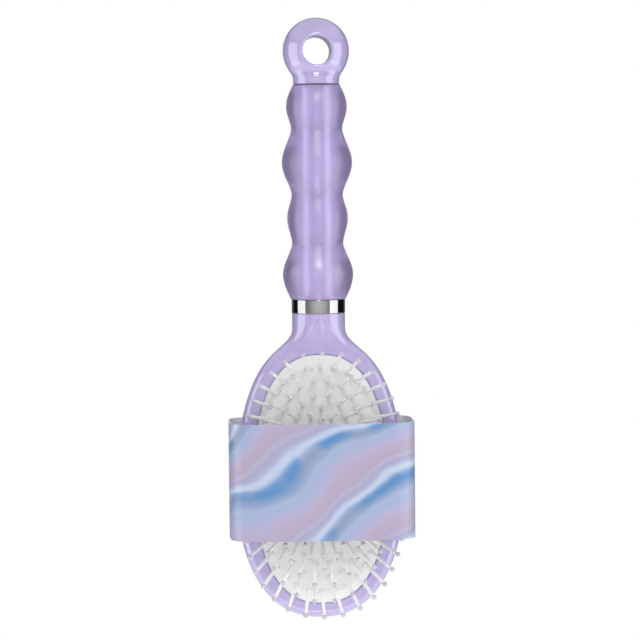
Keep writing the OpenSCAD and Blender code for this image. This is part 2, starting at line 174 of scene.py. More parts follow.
class Finishes(bpy.types.PropertyGroup):
    """Colours of the finishes."""

    plastic: colour("Plastic", (0.48, 0.412, 0.715), "Glossy plastic of the loop and the paddle")
    gel: colour("Gel", (0.68, 0.57, 0.97), "Frosted gel of the grip")
    core: colour("Core", (0.80, 0.78, 0.81), "Hard core that shows through the gel")
    collar: colour("Collar", (0.45, 0.45, 0.45), "Plated metal of the collar")
    rubber: colour("Rubber", (0.80, 0.80, 0.79), "White rubber of the cushion")
    nylon: colour("Nylon", (0.98, 0.98, 0.98), "White nylon of the pins")
    bead: colour("Bead", (0.57, 0.54, 0.65), "Ball tips of the pins")
    card_white: colour("Card white", (0.93, 0.93, 0.94), "Unprinted inside and edges of the card")
    sky: colour("Sky", (0.295, 0.37, 0.555), "Pale blue of the print")
    lilac: colour("Lilac", (0.385, 0.36, 0.535), "Lilac of the print")
    wave: colour("Wave", (0.07, 0.25, 0.55), "Deep blue of the print")
    blush: colour("Blush", (0.45, 0.37, 0.495), "Pink lilac of the print")
    glint: colour("Glint", (0.66, 0.70, 0.80), "Pale glints of the print")


class StudioSettings(bpy.types.PropertyGroup):
    """Camera, floor and lights."""

    lens: number("Lens", 154.7, "Focal length in millimetres")
    distance: size("Distance", 1.1, "From the camera to the point that it aims at")
    pitch: angle("Pitch", math.radians(3), "How far the camera looks down")
    yaw: angle("Yaw", math.radians(3.2), "How far the camera looks to the right")
    roll: angle("Roll", math.radians(0.575), "How far the camera is rolled")
    aim_x: place("Aim X", 0.0006, "Point that the camera aims at, across")
    aim_z: place("Aim Z", -0.1072, "Point that the camera aims at, in height")
    floor_z: place("Floor", -0.74, "Height of the floor")
    box_light: number("Side light", 1.9, "Radiance of the two side softboxes")
    top_light: number("Front top light", 8.4, "Radiance of the light above the camera")
    low_light: number("Front low light", 3.0, "Radiance of the light below the camera")
    floor_glow: number("Floor glow", 0.25, "Light that the pale floor gives off")


# ---- shapes

def mix(a, b, share):
    """Value at the share between a and b."""
    return a + (b - a) * share


def soft_step(a, b, x):
    """Share from 0 to 1 as x goes from a to b: 3t^2 - 2t^3, with t kept between 0 and 1."""
    t = np.clip((x - a) / (b - a), 0, 1)
    return t * t * (3 - 2 * t)


def smooth_max(a, b, sharpness):
    """b times the root of (a/b)^sharpness + 1: the greater of the two, with a rounded corner."""
    return b * ((a / b) ** sharpness + 1) ** (1 / sharpness)


def oval_height(a, b, power, d):
    """a times (1 - |d/b|^power)^(1/power), and 0 past the end."""
    return a * np.clip(1 - np.abs(d / b) ** power, 0, 1) ** (1 / power)


def oval_side(a, power, s):
    """Side of an oval of half size a where its angle's sine or cosine is s: a |s|^(2/power)."""
    return a * np.sign(s) * np.abs(s) ** (2 / power)


def join(*parts):
    """One array whose last axis holds the parts: coordinates of points, or corners of faces."""
    return np.stack(np.broadcast_arrays(*parts), axis=-1)


def quads(rows, columns, close_rows=False):
    """Four-cornered faces of a grid whose columns close into rings."""
    r = np.arange(rows if close_rows else rows - 1)[:, None]
    c = np.arange(columns)
    down, right = (r + 1) % rows, (c + 1) % columns
    r, down = r * columns, down * columns
    return join(r + c, r + right, down + right, down + c).reshape(-1, 4)


def lay(name, points, finishes, faces=None, close_rows=False, crease=35, corner_uv=None,
        face_finish=None, tags=None):
    """Closed piece from points, in a grid where no faces are given: doubles at poles merge, faces
    turn outwards, and edges sharper than the crease angle stay sharp."""
    if faces is None:
        faces = quads(*points.shape[:2], close_rows)
    mesh = bpy.data.meshes.new(name)
    mesh.from_pydata(points.reshape(-1, 3).tolist(), [], faces.tolist())
    for finish in finishes:
        mesh.materials.append(finish)
    if face_finish is not None:
        mesh.polygons.foreach_set("material_index", face_finish)
    if corner_uv is not None:
        layer = mesh.uv_layers.new(name="Print")
        layer.data.foreach_set("uv", corner_uv.reshape(-1))
    for tag, values in (tags or {}).items():
        mesh.attributes.new(tag, "FLOAT", "POINT").data.foreach_set("value", values.reshape(-1))
    work = bmesh.new()
    work.from_mesh(mesh)
    bmesh.ops.remove_doubles(work, verts=work.verts, dist=1e-7)
    bmesh.ops.recalc_face_normals(work, faces=work.faces)
    work.to_mesh(mesh)
    work.free()
    smooth(mesh, crease)
    piece = bpy.data.objects.new(name, mesh)
    bpy.context.scene.collection.objects.link(piece)
    return piece


def smooth(mesh, crease=35):
    """Smooths all but the edges sharper than the crease angle, in degrees."""
    mesh.shade_smooth()
    mesh.set_sharp_from_angle(angle=math.radians(crease))


def turns(columns):
    """Equal angles round a full turn, from 0."""
    return FULL_TURN * np.arange(columns) / columns


def revolve(profile, columns=128):
    """Ring of points for each (radius, height) of a profile, about the handle's middle line."""
    radius, height = profile.T[:, :, None]
    return join(radius * np.cos(turns(columns)), radius * np.sin(turns(columns)), height)


def arc(centre, radius, start, stop, steps):
    """Points of a circle's arc in the plane of a profile, angles in degrees."""
    a = np.radians(np.linspace(start, stop, steps))
    return join(centre[0] + radius * np.cos(a), centre[1] + radius * np.sin(a))


def stations(scene):
    """Heights and places that several pieces share, worked out from the sizes."""
    h, d, p = scene.brush_handle, scene.brush_head, scene.brush_pad
    s = SimpleNamespace()
    s.foot = -h.loop_radius
    s.grip_end = s.foot - h.grip_length
    s.neck = s.grip_end - h.collar_height
    s.wide = s.neck - d.shoulder_length
    s.toe = s.wide - d.toe_length
    s.neck_radius = h.collar_radius - FIT
    s.side_plane = -d.side_share * d.face_depth
    s.pad = s.toe + p.toe_margin + p.half_length
    s.seat = d.bezel_depth - d.face_depth
    s.apex = s.seat - p.edge_step - p.crown
    s.across = (p.half_width ** 2 + p.crown ** 2) / (2 * p.crown)
    s.along = (p.half_length ** 2 + p.crown ** 2) / (2 * p.crown)
    return s


def loop_widths(h, z):
    """Half width and half thickness of the loop at the height z: an oval above the middle, and
    below it an oval that turns into the round foot, drawn in by the rounding at the foot's end."""
    foot = -h.loop_radius
    rim = -(h.hole_radius + 2 * h.hole_edge)
    sharpness = 12  # of the corner between the ball and the foot
    ball = oval_height(1, h.loop_radius, 2, z)
    wide = ball * h.loop_radius
    wide = np.where(z > 0, wide, smooth_max(wide, h.foot_radius, sharpness))
    share = soft_step(rim, (rim + foot) / 2, z)
    thick = mix(ball * h.loop_thickness / 2, h.foot_radius, share)
    depth = np.clip(h.foot_edge - (z - foot), 0, h.foot_edge)
    inset = h.foot_edge - np.sqrt(h.foot_edge ** 2 - depth ** 2)
    return wide - inset, thick - inset


def loop_points(h):
    """Rows round the hole: its wall, its rounded edge, the ball's face out to the outline, where
    y = t(z) sqrt(1 - (x/w(z))^2), and the same at the back. Columns are angles round the hole,
    with one at each corner of the foot."""
    foot = -h.loop_radius
    corner = math.atan2(h.foot_radius - h.foot_edge, -foot)
    low = -math.pi / 2
    ball_steps, foot_steps, wall_steps, edge_steps, face_steps = 300, 72, 6, 8, 40
    turn = np.concatenate([
        np.linspace(low + corner, low + FULL_TURN - corner, ball_steps, endpoint=False),
        np.linspace(low - corner, low + corner, foot_steps, endpoint=False)])
    cos, sin = np.cos(turn), np.sin(turn)
    inner, outer = h.hole_radius, 2 * h.loop_radius
    for _ in range(40):  # halvings that close in on the outline
        middle = (inner + outer) / 2
        z = middle * sin
        inside = (z >= foot) & (z < h.loop_radius) & (np.abs(middle * cos) < loop_widths(h, z)[0])
        inner, outer = np.where(inside, middle, inner), np.where(inside, outer, middle)
    edge = h.hole_edge
    ring = h.hole_radius + edge
    inner_r, inner_t = h.loop_radius - edge, h.loop_thickness / 2 - edge
    level = oval_height(inner_t, inner_r, 2, ring)
    tilt = math.degrees(math.atan2(ring / inner_r ** 2, level / inner_t ** 2))
    wall = np.linspace([h.hole_radius, 0], [h.hole_radius, level], wall_steps, endpoint=False)
    rim = np.concatenate([wall, arc((ring, level), edge, 180, 90 - tilt, edge_steps)])
    rim_x, rim_z = rim[:, :1] * cos, rim[:, :1] * sin
    share = np.sin(math.pi / 2 * np.linspace(0, 1, face_steps))[1:, None]
    radius = mix(rim[-1, 0], inner, share)
    x, z = radius * cos, radius * sin
    wide, thick = loop_widths(h, z)
    y = thick * np.sqrt(np.clip(1 - (x / wide) ** 2, 0, 1))
    front = np.concatenate([join(rim_x, -rim[:, 1:], rim_z), join(x, -y, z)])
    back = front[:0:-1] * [1, -1, 1]
    return np.concatenate([front, back])


def grip_profile(h, s):
    """Outline of the grip: swells and waists at their shares of its length, joined by half waves
    ((1 - cos)/2)^fullness, with quarter waves at both ends and a straight bore."""
    at = np.array([0.103, 0.206, 0.365, 0.515, 0.623, 0.740, 0.885])
    radii = [h.small_swell, h.waist, h.big_swell, h.waist, h.small_swell, h.waist, h.big_swell]
    fullness, crowding = 0.8, 1.5  # of the half waves, and of the points near the upper end
    rise = lambda share: ((1 - np.cos(math.pi * share)) / 2) ** fullness
    t = np.linspace(0, 1, 28, endpoint=False) ** crowding
    radius = [mix(h.foot_radius, radii[0], np.sin(math.pi / 2 * t))]
    share = [at[0] * t]
    t = np.linspace(0, 1, 18, endpoint=False)
    for a, b, c, d in zip(radii[:-1], radii[1:], at[:-1], at[1:]):
        radius.append(mix(b, a, rise(1 - t)) if a > b else mix(a, b, rise(t)))
        share.append(mix(c, d, t))
    t = np.linspace(0, 1, 19)
    radius.append(mix(h.grip_end, radii[-1], np.cos(math.pi / 2 * t)))
    share.append(mix(at[-1], 1, t))
    outside = join(np.concatenate(radius), s.foot - h.grip_length * np.concatenate(share))
    edge = h.foot_edge
    drop = np.clip(edge - (s.foot - outside[:, 1]), 0, edge)
    outside[:, 0] -= edge - np.sqrt(edge ** 2 - drop ** 2)
    bore = h.core_radius - FIT / 2
    return np.concatenate([outside, [[bore, s.grip_end], [bore, s.foot]]])


def collar_profile(h, s):
    """Outline of the collar's wall, with its two outer edges rounded."""
    low, high = s.neck + FIT, s.grip_end - FIT
    inside, outside, edge = h.collar_radius - h.collar_wall, h.collar_radius, h.collar_edge
    return np.concatenate([
        [[inside, low]], arc((outside - edge, low + edge), edge, -90, 0, 6),
        arc((outside - edge, high - edge), edge, 0, 90, 6), [[inside, high]]])


def paddle_points(d, s):
    """Stack of cross-sections that turn from the round neck into the flat-faced, arch-backed head
    and close at the toe. The back is an oval |x/w|^p + |y/depth|^p = 1. The face is flat, and
    rounded over by a quarter of an ellipse within the edge's width of the outline, which is the
    whole half width at the neck."""
    flare_end = s.neck - d.flare
    z = np.concatenate([
        np.linspace(s.neck, flare_end, 36, endpoint=False),
        np.linspace(flare_end, s.wide, 60, endpoint=False),
        s.wide - d.toe_length * np.sin(math.pi / 2 * np.linspace(0, 1, 56, endpoint=False))])
    near_toe = z < s.wide
    oval = oval_height(d.half_width, d.shoulder_length - d.shoulder_gap, SHOULDER_POWER, z - s.wide)
    suddenness = 4.5  # with which the head opens
    opened = 1 - 1 / (1 + (np.clip(s.neck - z, 0, None) / d.opening) ** suddenness)
    shoulder = mix(s.neck_radius, np.maximum(s.neck_radius, oval), opened)
    toe = oval_height(d.half_width, d.toe_length, TOE_POWER, z - s.wide)
    wide = np.where(near_toe, toe, shoulder)[:, None]
    flare = soft_step(s.neck - d.straight, flare_end, z)[:, None]
    fall = oval_height(1, d.toe_length, BACK_POWER, z - s.wide)
    back_share = np.where(near_toe, fall, 1)[:, None]
    front = mix(s.neck_radius, d.face_depth + s.side_plane, flare)
    back = mix(s.neck_radius, d.back_depth - s.side_plane, flare) * back_share
    turn = turns(192)
    cos, sin = np.cos(turn), np.sin(turn)
    power = np.where(sin < 0, mix(2, FACE_POWER, flare), mix(2, BACK_POWER, flare))
    x = oval_side(wide, power, cos)
    lean = np.hypot(1, np.gradient(wide[:, 0], z))[:, None]
    across, along = np.abs(x / d.half_width), np.abs((z[:, None] - s.wide) / d.toe_length)
    level = (across ** TOE_POWER + along ** TOE_POWER) ** (1 / TOE_POWER)
    less = TOE_POWER - 1
    steep = np.hypot(across ** less / d.half_width, along ** less / d.toe_length) / level ** less
    gap = np.where(near_toe[:, None], (1 - level) / steep, (wide - np.abs(x)) / lean)
    reach = mix(wide / lean, d.edge_width, flare)
    round_front = -front * np.sqrt(np.clip(1 - (1 - np.clip(gap / reach, 0, 1)) ** 2, 0, 1))
    y = s.side_plane * flare + np.where(sin < 0, round_front, oval_side(back, power, sin))
    body = join(x, y, z[:, None])
    top = np.broadcast_to([0, 0, s.neck], body[:1].shape)
    end = np.broadcast_to([0, s.side_plane, s.toe], body[:1].shape)
    return np.concatenate([top, body, end])


def pad_oval(a, b, turn):
    """Coordinates x and z of the oval |x/a|^p + |z/b|^p = 1 from its middle."""
    return oval_side(a, PAD_POWER, np.sin(turn)), oval_side(b, PAD_POWER, np.cos(turn))


def plug(p, s, profile, columns=240):
    """Closed oval block whose rim is grown by each (grow, y) of a profile from front to back."""
    grow, y = np.array(profile).T[:, :, None]
    x, z = pad_oval(p.half_width + grow, p.half_length + grow, turns(columns))
    rim = join(x, y, z + s.pad)
    ends = rim[[0, -1]] * [0, 1, 0] + [0, 0, s.pad]
    return np.concatenate([ends[:1], rim, ends[1:]])


def lengths(points):
    """Length along a line of points up to each of them."""
    return np.concatenate([[0], np.cumsum(np.linalg.norm(np.diff(points, axis=0), axis=1))])


def crown_y(s, x, z):
    """Height of the cushion's barrel-shaped crown at x across and z along from its middle."""
    radius = s.along - s.across + np.sqrt(s.across ** 2 - x * x)
    return s.apex + s.along - np.sqrt(radius ** 2 - z * z)


def pin_rings(p):
    """Places (x, z) of the pins from the cushion's middle: four rings that share their arc length
    equally, and a row along the middle."""
    rings = []
    starts = 0, 0.5, 0.5, 0  # in steps from one pin to the next
    wide, long = p.half_width - p.side_margin, p.half_length - p.end_margin
    for ring, pins in enumerate((p.outer_count, p.second_count, p.third_count, p.fourth_count)):
        a, b = wide * (1 - RING_STEP[0] * ring), long * (1 - RING_STEP[1] * ring)
        turn = np.linspace(0, FULL_TURN, 181)
        length = lengths(join(*pad_oval(a, b, turn)))
        at = np.interp(length[-1] * (np.arange(pins) + starts[ring]) / pins, length, turn)
        rings.append(join(*pad_oval(a, b, at)))
    row = np.linspace(-ROW_SHARE, ROW_SHARE, p.middle_count) * long
    return [*rings, join(0, row)]


def pad_points(p, s, columns=480):
    """Cushion from its middle out over the crown, round its edge, down its wall, and back inside at
    the rubber's thickness. A dimple, exp(-(distance/radius)^4), lies round each pin, and the
    breather hole is a narrow pit. Also gives how near each point is to a pin or the hole, which the
    rubber's finish uses for painted shade."""
    reach = 1 - p.edge / p.half_width
    share = np.sin(math.pi / 2 * np.linspace(0, 1, 120)) * reach
    x, z = pad_oval(p.half_width, p.half_length, turns(columns)[None, :])
    surface_x, surface_z = share[:, None] * x, share[:, None] * z
    y = crown_y(s, surface_x, surface_z)
    places = np.concatenate(pin_rings(p))
    near = np.zeros_like(y)
    for px, pz in places:
        gap = np.hypot(surface_x - px, surface_z - pz)
        near = np.maximum(near, np.exp(-(gap / p.dimple_radius) ** 4))
    vent_z = ROW_SHARE * (p.half_length - p.end_margin) / (p.middle_count - 1)
    pit = np.exp(-(np.hypot(surface_x, surface_z - vent_z) / p.vent) ** 6)
    y = y + p.dimple * near + 1.5 * p.vent * pit
    rim_y = crown_y(s, reach * x, reach * z)
    rows = [join(surface_x, y, surface_z + s.pad)]
    for a in np.radians(np.linspace(15, 90, 6)):
        grown = reach + (1 - reach) * math.sin(a)
        rows.append(join(grown * x, rim_y + p.edge * (1 - math.cos(a)), grown * z + s.pad))
    inner = 1 - p.rubber / p.half_width
    for share in (1, inner):
        rows.append(join(share * x, s.seat + p.wall, share * z + s.pad))
    within = np.linspace(1, 0, 24)[:, None] * inner
    x, z = within * x, within * z
    points = np.concatenate([*rows, join(x, crown_y(s, x, z) + p.rubber, z + s.pad)])
    tag = np.zeros(points.shape[:2])
    tag[:len(near)] = np.maximum(near, pit)
    return points, tag


def pin_axes(s, places):
    """Foot, direction and two square directions of each pin, which leans by its place over the
    distance back to its line: (x / across, -1, (z - height) / along)."""
    x, z = places.T
    foot = join(x, crown_y(s, x, z), z + s.pad)
    lean = join(x / LEAN[0], -1, (z - LEAN_HEIGHT) / LEAN[1])
    lean /= np.linalg.norm(lean, axis=1)[:, None]
    side = np.cross(lean, [0, 0, 1])
    side /= np.linalg.norm(side, axis=1)[:, None]
    return foot, lean, side, np.cross(side, lean)


def pin_points(s, places, profile, columns):
    """The profile of (distance along, radius), turned about the axis of each pin."""
    foot, lean, side, other = (part[:, None, None] for part in pin_axes(s, places))
    along, radius = np.array(profile).T[:, :, None, None]
    turn = turns(columns)[:, None]
    return foot + along * lean + radius * (np.cos(turn) * side + np.sin(turn) * other)


def repeated(faces, copies, stride):
    """Faces of one shape, written again for each copy."""
    return (faces[None] + stride * np.arange(copies)[:, None, None]).reshape(-1, faces.shape[1])


def sleeve_outline(k, s, head, pad, grow, turn):
    """Outline of the sleeve, |x/w|^p + |y/depth|^p = 1 with its own depth in front and behind."""
    outer = pad.half_width - pad.side_margin
    lean = math.sin(math.atan2(outer, LEAN[0]))
    reach = outer + (pad.pin_length - pad.ball_radius) * lean + pad.ball_radius
    wide = max(head.half_width, reach) + k.side_gap + k.card
    front = k.middle - s.apex + pad.pin_length + k.front_gap + k.card
    back = head.back_depth + k.back_gap + k.card - k.middle
    sin = np.sin(turn)
    return join(oval_side(wide + grow, CARD_POWER, np.cos(turn)),
                k.middle + oval_side(np.where(sin < 0, front, back) + grow, CARD_POWER, sin))


# ---- finishes

def both_ways(operation):
    """An operator's plain and reflected methods, each of which adds a Math node."""
    return (lambda self, other: self.maths(operation, self, other),
            lambda self, other: self.maths(operation, other, self))


class Flow:
    """Output of a shader node. Arithmetic on it adds Math nodes."""

    def __init__(self, finish, socket):
        self.finish, self.socket = finish, socket

    def maths(self, operation, *values):
        return self.finish.node("ShaderNodeMath", {"operation": operation}, values)

    __add__, __radd__ = both_ways("ADD")
    __sub__, __rsub__ = both_ways("SUBTRACT")
    __mul__, __rmul__ = both_ways("MULTIPLY")
    __truediv__, __rtruediv__ = both_ways("DIVIDE")

    def __abs__(self):
        return self.maths("ABSOLUTE", self)

    def fraction(self):
        return self.maths("FRACT", self)

    def near(self, centre, width):
        """1 at the centre, with soft flanks down to 0 at the width on either side."""
        return abs(self - centre).step(width, 0.0)

    def step(self, low, high):
        """Soft step from 0 at low to 1 at high."""
        return self.finish.node("ShaderNodeMapRange", {"interpolation_type": "SMOOTHSTEP"},
                                {"Value": self, "From Min": low, "From Max": high}, "Result")


class Finish:
    """Nodes of a material for one kind of surface, or of the world."""

    def __init__(self, owner):
        owner.use_nodes = True
        self.owner, self.tree = owner, owner.node_tree

    def node(self, kind, settings=None, values=(), output=0):
        """Adds a node, sets its settings first and then its sockets, and gives one output."""
        made = self.tree.nodes.new(kind)
        for key, value in (settings or {}).items():
            if key == "stops":
                ramp = made.color_ramp.elements
                while len(ramp) < len(value):
                    ramp.new(1)
                for element, (at, tone) in zip(ramp, value):
                    element.position, element.color = at, tone
            else:
                setattr(made, key, value)
        pairs = values.items() if isinstance(values, dict) else enumerate(values)
        for key, value in pairs:
            self.feed(made.inputs[key], value)
        return Flow(self, made.outputs[output])

    def feed(self, socket, value):
        if isinstance(value, Flow):
            self.tree.links.new(value.socket, socket)
        else:
            socket.default_value = value

    def blend(self, share, a, b):
        """Colour at the share between two colours."""
        return self.node("ShaderNodeMix", {"data_type": "RGBA"}, {0: share, 6: a, 7: b}, 2)

    def mottle(self, tone, share, dark, light):
        """Colour that varies by the share from a little darker to a little lighter."""
        return self.blend(share, rgba(tone, dark), rgba(tone, light))

    def place(self):
        """Place on the piece, in metres."""
        return self.node("ShaderNodeTexCoord", output="Object")

    def parts(self, vector):
        """The three coordinates of a place."""
        split = self.node("ShaderNodeSeparateXYZ", None, [vector]).socket.node
        return [Flow(self, split.outputs[axis]) for axis in "XYZ"]

    def noise(self, vector, scale, detail=2.0, roughness=0.5):
        """Noise from 0 to 1 with so many cells to the metre."""
        return self.node("ShaderNodeTexNoise", None, {
            "Vector": vector, "Scale": scale, "Detail": detail, "Roughness": roughness}, "Fac")

    def bump(self, height, distance):
        """Normal of a surface raised by height times distance in metres."""
        return self.node("ShaderNodeBump", None, {"Height": height, "Distance": distance}, "Normal")

    def set(self, **sockets):
        """Sets or links sockets of the Principled shader, named with underscores for spaces."""
        shader = self.tree.nodes["Principled BSDF"]
        for key, value in sockets.items():
            self.feed(shader.inputs[key.replace("_", " ")], value)
        return self.owner


def rgba(tone, factor=1.0):
    """Colour with full alpha, darkened or lightened by a factor."""
    return tuple(min(1.0, c * factor) for c in tone) + (1.0,)


def made_once(name):
    """Turns a function that fills in a finish into one that makes its named material once."""
    return lambda fill: lambda values: (
        bpy.data.materials.get(name) or fill(Finish(bpy.data.materials.new(name)), values))


@made_once("glossy_lavender_plastic")
def plastic_finish(f, tones):
    """Injection-moulded glossy plastic: faint flow marks in its colour and gloss, a slight
    waviness, and pale streaks of painted reflection that fan out just below the collar."""
    at = f.place()
    flow, wave, fine = f.noise(at, 60, 3), f.noise(at, 160), f.noise(at, 2600)
    tone = f.mottle(tones.plastic, flow.step(0.3, 0.7), 0.97, 1.03)
    x, y, z = f.parts(at)
    # painted reflection: pale streaks, lighter than the plastic, that fan down the neck's front
    # below the collar
    fan = x / (-0.1015 - z)
    painted_reflection_streaks = fan.near(-0.40, 0.13) + fan.near(0.13, 0.12) * 1.3 + fan.near(0.50, 0.12) * 0.9
    reach = z.step(-0.1135, -0.1095) * z.step(-0.1040, -0.1065) * y.step(-0.004, -0.008)
    tone = f.blend(painted_reflection_streaks * reach * 0.5, tone, rgba(tones.plastic, 1.35))
    return f.set(Base_Color=tone, Roughness=0.17 + 0.05 * fine, IOR=1.5, Coat_Weight=1,
                 Coat_IOR=1.7, Coat_Roughness=0.04, Normal=f.bump(wave, 0.00002))


@made_once("frosted_purple_gel")
def gel_finish(f, tones):
    """Frosted gel: light passes through it softly, down to the hard core. Its upper rim is darkened
    as painted shade, where the seam under the loop's foot falls in shadow, and it is shinier on its
    lowest swell, where the thumb rests."""
    at = f.place()
    frost, cloud = f.noise(at, 3000), f.noise(at, 90, 3)
    tone = f.mottle(tones.gel, cloud.step(0.35, 0.7), 0.98, 1.02)
    z = f.parts(at)[2]
    # painted shade: the gel's upper rim darkened, where the seam under the loop's foot is in shadow
    tone = f.blend(z.step(-0.0140, -0.0136), tone, rgba(tones.gel, 0.2))
    thumb = z.near(LOWEST_SWELL, 0.0085)
    return f.set(Base_Color=tone, Roughness=0.28 + 0.05 * frost, IOR=1.42, Transmission_Weight=0.82,
                 Coat_Weight=0.25 + 0.75 * thumb, Coat_Roughness=0.25,
                 Normal=f.bump(frost, 0.00001))


@made_once("tube_plastic")
def core_finish(f, tones):
    """Hard pale core, as moulded, with a painted highlight as a lighter band along either side of
    its front and back, and a painted highlight as a lighter stretch inside the lowest swell."""
    at = f.place()
    flow = f.noise(at, 120, 3)
    tone = f.mottle(tones.core, flow.step(0.3, 0.7), 0.98, 1.02)
    x, _, z = f.parts(at)
    # painted highlight: lighter bands either side of the middle, front and back, standing for the
    # side lights' reflections seen through the gel
    tone = f.blend(abs(x).near(0.0038, 0.0030), tone, rgba(tones.core, 1.28))
    # painted highlight: the core lightened inside the lowest swell, standing for that swell's
    # bright spot
    tone = f.blend(z.near(LOWEST_SWELL, 0.0070) * 0.85, tone, rgba(tones.core, 1.28))
    return f.set(Base_Color=tone, Roughness=0.28, IOR=2.8, Coat_Weight=1, Coat_IOR=2.0,
                 Coat_Roughness=0.32)


@made_once("plated_collar")
def collar_finish(f, tones):
    """Plated metal with fine turning marks round it."""
    stretched = f.node(
        "ShaderNodeMapping", None, {"Vector": f.place(), "Scale": (1, 1, 30)}, "Vector")
    marks = f.noise(stretched, 300)
    return f.set(Base_Color=rgba(tones.collar), Metallic=1, Roughness=0.035 + 0.04 * marks,
                 Normal=f.bump(marks, 0.000002))


@made_once("cushion_rubber")
def rubber_finish(f, tones):
    """White rubber with a fine skin, and a soft dark line of painted shade round the hole where
    each pin goes through, and round the breather hole.
    """
    at = f.place()
    grain, cloud = f.noise(at, 1800, 4, 0.6), f.noise(at, 70)
    near = f.node("ShaderNodeAttribute", {"attribute_name": "near_pin"}, output="Fac")
    tone = f.mottle(tones.rubber, cloud.step(0.3, 0.7), 0.98, 1.02)
    # painted shade: the rubber darkened round each pin's hole and round the breather hole
    tone = f.blend(near.step(0.55, 1.0) * 0.5, tone, rgba(tones.rubber, 0.45))
    return f.set(Base_Color=tone, Roughness=0.5 + 0.15 * grain, IOR=1.45,
                 Normal=f.bump(grain, 0.00002))


@made_once("pin_nylon")
def nylon_finish(f, tones):
    """White nylon of the pins, a little milky."""
    grain = f.noise(f.place(), 1200, 3)
    tone = f.mottle(tones.nylon, grain, 0.96, 1.03)
    return f.set(Base_Color=tone, Roughness=0.34 + 0.1 * grain, IOR=1.5, Subsurface_Weight=0.6,
                 Subsurface_Radius=(1, 1, 1), Subsurface_Scale=0.001)


@made_once("dipped_beads")
def bead_finish(f, tones):
    """Dipped lavender beads, glossy, each a touch lighter or darker."""
    each = f.noise(f.place(), 150, 1)
    tone = f.mottle(tones.bead, each.step(0.3, 0.7), 0.93, 1.06)
    return f.set(Base_Color=tone, Roughness=0.22 + 0.1 * each, IOR=1.5, Coat_Weight=0.4)


@made_once("sleeve_print")
def print_finish(f, tones):
    """Satin print on card: broad watery swells of pale blue, lilac and blush that run up to the
    right, with deep blue along some crests and a pale glint beside them. It reads the card's own
    map, in metres: run = up - across / 2, bent by noise, and its fraction picks the colour."""
    at = f.node("ShaderNodeUVMap", {"uv_map": "Print"}, output="UV")
    across, up, _ = f.parts(at)
    slow, curl, patch = f.noise(at, 18, 1), f.noise(at, 70), f.noise(at, 40)
    run = up - across * 0.5 + slow * 0.045 + curl * 0.004
    wave = (run * 34).fraction()
    stops = [(at, rgba(tone, factor)) for at, tone, factor in (
        (0, tones.sky, 1.15), (0.22, tones.sky, 0.85), (0.36, tones.sky, 1.3),
        (0.5, tones.lilac, 1), (0.68, tones.blush, 1), (0.86, tones.lilac, 1.15),
        (1, tones.sky, 1.15))]
    tone = f.node("ShaderNodeValToRGB", {"stops": stops}, {"Fac": wave}, "Color")
    deep = wave.near(0.24, 0.17) * patch.step(0.40, 0.60) * 0.9
    tone = f.blend(deep, tone, rgba(tones.wave))
    glint = wave.near(0.37, 0.09) * 0.55 + (run * 68).fraction().near(0.1, 0.12) * 0.15
    tone = f.blend(glint, tone, rgba(tones.glint))
    fibre = f.noise(at, 2500)
    return f.set(Base_Color=tone, Roughness=0.32 + 0.1 * fibre, IOR=1.5,
                 Normal=f.bump(fibre, 0.000008))


@made_once("bare_card")
def card_finish(f, tones):
    """Bare white card of the inside and the cut edges, with a fibrous grain."""
    fibre = f.noise(f.place(), 1500, 4, 0.7)
    tone = f.mottle(tones.card_white, fibre, 0.94, 1.04)
    return f.set(Base_Color=tone, Roughness=0.85, IOR=1.45, Normal=f.bump(fibre, 0.00002))


@made_once("pale_floor")
def floor_finish(f, glow):
    """Plain pale floor, evenly lit."""
    grain = f.noise(f.place(), 8)
    tone = f.blend(grain, (0.86, 0.86, 0.86, 1), (0.88, 0.88, 0.88, 1))
    return f.set(Base_Color=tone, Roughness=0.9, Emission_Color=(1, 1, 1, 1),
                 Emission_Strength=glow)


# ---- operators

class BuildLoop(bpy.types.Operator):
    """Build the hang loop: a ball with a hole, on a round foot"""

    bl_idname = "brush.build_loop"
    bl_label = "Hang loop"

    def execute(self, context):
        scene = context.scene
        piece = lay("dressed_loop", loop_points(scene.brush_handle),
                    [plastic_finish(scene.brush_finishes)], close_rows=True)
        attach(piece, "brush")
        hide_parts("hang_loop")
        return {"FINISHED"}


class BuildGrip(bpy.types.Operator):
    """Build the gel grip and finish the core inside it"""

    bl_idname = "brush.build_grip"
    bl_label = "Gel grip and core"

    def execute(self, context):
        scene = context.scene
        points = revolve(grip_profile(scene.brush_handle, stations(scene)))
        piece = lay("dressed_grip", points, [gel_finish(scene.brush_finishes)],
                    close_rows=True, crease=60)
        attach(piece, "brush")
        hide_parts("gel_grip")
        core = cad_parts["handle_core"]
        core.data.materials.clear()
        core.data.materials.append(core_finish(scene.brush_finishes))
        return {"FINISHED"}


class BuildCollar(bpy.types.Operator):
    """Build the bright collar between the grip and the neck"""

    bl_idname = "brush.build_collar"
    bl_label = "Collar"

    def execute(self, context):
        scene = context.scene
        points = revolve(collar_profile(scene.brush_handle, stations(scene)))
        piece = lay("dressed_collar", points, [collar_finish(scene.brush_finishes)],
                    close_rows=True, crease=50)
        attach(piece, "brush")
        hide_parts("ferrule")
        return {"FINISHED"}


